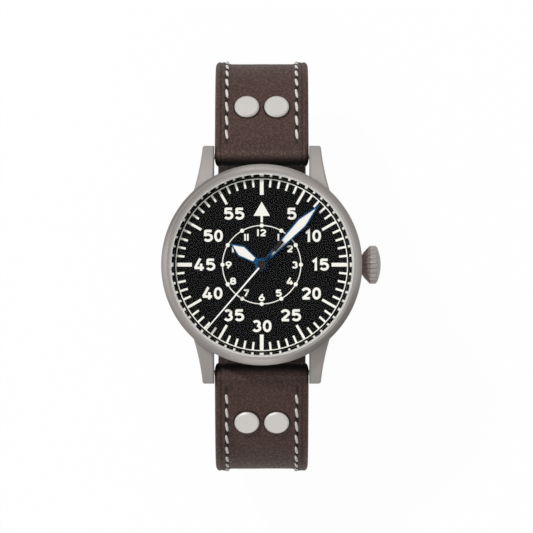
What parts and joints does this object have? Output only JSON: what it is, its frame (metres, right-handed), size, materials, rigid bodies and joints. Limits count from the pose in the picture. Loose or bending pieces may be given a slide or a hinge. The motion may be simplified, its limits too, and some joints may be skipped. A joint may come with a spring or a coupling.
{
  "type": "pilot wristwatch",
  "caption": "Round steel pilot watch with a fluted conical crown, black dial, open leaf hands and automatic movement, on a riveted leather strap buckled into its loop.",
  "frame": {"origin": "centre of the case back's flat outer face", "axes": "+Z out of the dial, +Y to 12 o'clock, +X to 3 o'clock and the crown"},
  "size_m": [0.0459, 0.088, 0.0541],
  "materials": {
    "case_steel": "bead blasted, satin",
    "bezel_steel": "satin top, polished lip and inner slope",
    "crystal_glass": "clear, polished",
    "seal_rubber": "black",
    "crown_steel": "bead blasted, fluted",
    "dial_black": "matt black with printed scales",
    "hand_blue": "heat-blued, polished",
    "lume": "cream luminous paint",
    "hand_white": "white paint, dark counterweight",
    "movement_steel": "polished",
    "movement_plate": "nickel plated",
    "wheel_brass": "gilt",
    "spring_steel": "bright spring steel",
    "ruby": "synthetic ruby",
    "strap_leather": "dark brown, fine grain, satin",
    "strap_lining": "smooth brown lining",
    "rivet_steel": "satin",
    "buckle_steel": "satin"
  },
  "bodies": {
    "case": {"mid_case": "case_steel", "bezel": "bezel_steel", "crystal": "crystal_glass", "crystal_gasket": "seal_rubber", "case_back": "case_steel", "case_back_gasket": "seal_rubber", "spring_bar_12": "movement_steel", "spring_bar_6": "movement_steel", "crown_tube": "case_steel", "dial": "dial_black", "movement_ring": "movement_steel", "main_plate": "movement_plate", "centre_tube": "movement_steel", "barrel_bridge": "movement_plate", "train_bridge": "movement_plate", "balance_cock": "movement_plate", "pallet_bridge": "movement_plate", "bridge_screws": "spring_steel", "jewels": "ruby", "rotor_bearing": "movement_steel", "hairspring": "spring_steel"},
    "clutch": {"sliding_pinion": "movement_steel", "winding_pinion": "movement_steel"},
    "crown": {"crown": "crown_steel", "winding_stem": "movement_steel", "crown_seal": "seal_rubber"},
    "crown_wheel": {"crown_wheel": "movement_steel"},
    "winding_arbor": {"ratchet_wheel": "movement_steel", "barrel_arbor": "movement_steel"},
    "seconds": {"seconds_wheel": "wheel_brass", "seconds_hand": "hand_white"},
    "third_wheel": {"third_wheel": "wheel_brass"},
    "second_wheel": {"second_wheel": "wheel_brass"},
    "barrel": {"barrel": "wheel_brass", "mainspring": "spring_steel"},
    "escape_wheel": {"escape_wheel": "movement_steel"},
    "minute_wheel": {"minute_wheel": "wheel_brass"},
    "setting_wheel": {"setting_wheel": "movement_steel"},
    "minutes": {"cannon_pinion": "movement_steel", "minute_hand": "hand_blue", "minute_hand_lume": "lume"},
    "hours": {"hour_wheel": "wheel_brass", "hour_hand": "hand_blue", "hour_hand_lume": "lume"},
    "pallet_fork": {"pallet_fork": "movement_steel"},
    "balance": {"balance_wheel": "wheel_brass"},
    "rotor": {"rotor": "movement_plate"},
    "strap_12": {"strap_12_leather": "strap_leather", "strap_12_lining": "strap_lining", "rivets_12": "rivet_steel", "buckle_bar": "buckle_steel", "fixed_keeper": "strap_leather"},
    "strap_6": {"strap_6_leather": "strap_leather", "strap_6_lining": "strap_lining", "rivets_6": "rivet_steel"},
    "buckle_frame": {"buckle_frame": "buckle_steel"},
    "buckle_tongue": {"buckle_tongue": "buckle_steel"},
    "free_keeper": {"free_keeper": "strap_leather"}
  },
  "joints": [
    {"name": "seconds_turn", "type": "hinge", "parent": "case", "child": "seconds", "pos_m": [0, 0, 0], "axis": [0, 0, -1], "continuous": true},
    {"name": "third_wheel_turn", "type": "hinge", "parent": "case", "child": "third_wheel", "pos_m": [-0.00352, 0.00127, 0], "axis": [0, 0, -1], "continuous": true},
    {"name": "second_wheel_turn", "type": "hinge", "parent": "case", "child": "second_wheel", "pos_m": [-0.00239, 0.00506, 0], "axis": [0, 0, -1], "continuous": true},
    {"name": "barrel_turn", "type": "hinge", "parent": "case", "child": "barrel", "pos_m": [0.00371, 0.00558, 0], "axis": [0, 0, -1], "continuous": true, "deforming": ["mainspring"]},
    {"name": "escape_wheel_turn", "type": "hinge", "parent": "case", "child": "escape_wheel", "pos_m": [-0.0006, -0.00341, 0], "axis": [0, 0, -1], "continuous": true},
    {"name": "minute_wheel_turn", "type": "hinge", "parent": "case", "child": "minute_wheel", "pos_m": [0.00085, 0.0035, 0], "axis": [0, 0, -1], "continuous": true},
    {"name": "setting_wheel_turn", "type": "hinge", "parent": "case", "child": "setting_wheel", "pos_m": [0.00508, 0.00196, 0], "axis": [0, 0, -1], "continuous": true},
    {"name": "minutes_turn", "type": "hinge", "parent": "case", "child": "minutes", "pos_m": [0, 0, 0], "axis": [0, 0, -1], "continuous": true},
    {"name": "hours_turn", "type": "hinge", "parent": "case", "child": "hours", "pos_m": [0, 0, 0], "axis": [0, 0, -1], "continuous": true},
    {"name": "crown_turn", "type": "hinge", "parent": "case", "child": "clutch", "pos_m": [0, 0, 0.005], "axis": [1, 0, 0], "continuous": true},
    {"name": "crown_pull", "type": "slide", "parent": "clutch", "child": "crown", "axis": [1, 0, 0], "range_m": [0, 0.0012]},
    {"name": "crown_wheel_turn", "type": "hinge", "parent": "case", "child": "crown_wheel", "pos_m": [0.0076, 0, 0], "axis": [0, 0, -1], "continuous": true},
    {"name": "ratchet_turn", "type": "hinge", "parent": "case", "child": "winding_arbor", "pos_m": [0.00371, 0.00558, 0], "axis": [0, 0, -1], "continuous": true},
    {"name": "pallet_rock", "type": "hinge", "parent": "case", "child": "pallet_fork", "pos_m": [-0.00177, -0.00504, 0], "axis": [0, 0, -1], "range_deg": [-6, 6]},
    {"name": "balance_swing", "type": "hinge", "parent": "case", "child": "balance", "pos_m": [-0.00342, -0.00734, 0], "axis": [0, 0, -1], "range_deg": [-135, 135], "deforming": ["hairspring"]},
    {"name": "rotor_turn", "type": "hinge", "parent": "case", "child": "rotor", "pos_m": [0, 0, 0], "axis": [0, 0, -1], "continuous": true},
    {"name": "strap_12_swing", "type": "hinge", "parent": "case", "child": "strap_12", "pos_m": [0, 0.0227, 0.0019], "axis": [1, 0, 0], "range_deg": [0, 60], "deforming": ["strap_12_leather", "strap_12_lining"]},
    {"name": "strap_6_swing", "type": "hinge", "parent": "case", "child": "strap_6", "pos_m": [0, -0.0227, 0.0019], "axis": [-1, 0, 0], "range_deg": [0, 60], "deforming": ["strap_6_leather", "strap_6_lining"]},
    {"name": "buckle_swing", "type": "hinge", "parent": "strap_12", "child": "buckle_frame", "pos_m": [0, 0.0035, -0.03671], "axis": [1, 0, 0], "range_deg": [0, 30]},
    {"name": "tongue_swing", "type": "hinge", "parent": "buckle_frame", "child": "buckle_tongue", "pos_m": [0, 0.0035, -0.03671], "axis": [1, 0, 0], "range_deg": [0, 25]},
    {"name": "keeper_slide", "type": "slide", "parent": "strap_12", "child": "free_keeper", "axis": [0, 1, 0], "range_m": [-0.0004, 0.0061]}
  ],
  "couplings": [
    {"joint": "third_wheel_turn", "follows": "seconds_turn", "ratio": -0.13333},
    {"joint": "second_wheel_turn", "follows": "seconds_turn", "ratio": 0.016667},
    {"joint": "barrel_turn", "follows": "seconds_turn", "ratio": -0.0027778},
    {"joint": "escape_wheel_turn", "follows": "seconds_turn", "ratio": -10},
    {"joint": "minute_wheel_turn", "follows": "seconds_turn", "ratio": -0.0055556},
    {"joint": "setting_wheel_turn", "follows": "seconds_turn", "ratio": 0.0083333},
    {"joint": "minutes_turn", "follows": "seconds_turn", "ratio": 0.016667},
    {"joint": "hours_turn", "follows": "seconds_turn", "ratio": 0.0013889},
    {"joint": "crown_wheel_turn", "follows": "crown_turn", "ratio": -0.57143},
    {"joint": "ratchet_turn", "follows": "crown_turn", "ratio": 0.4}
  ]
}
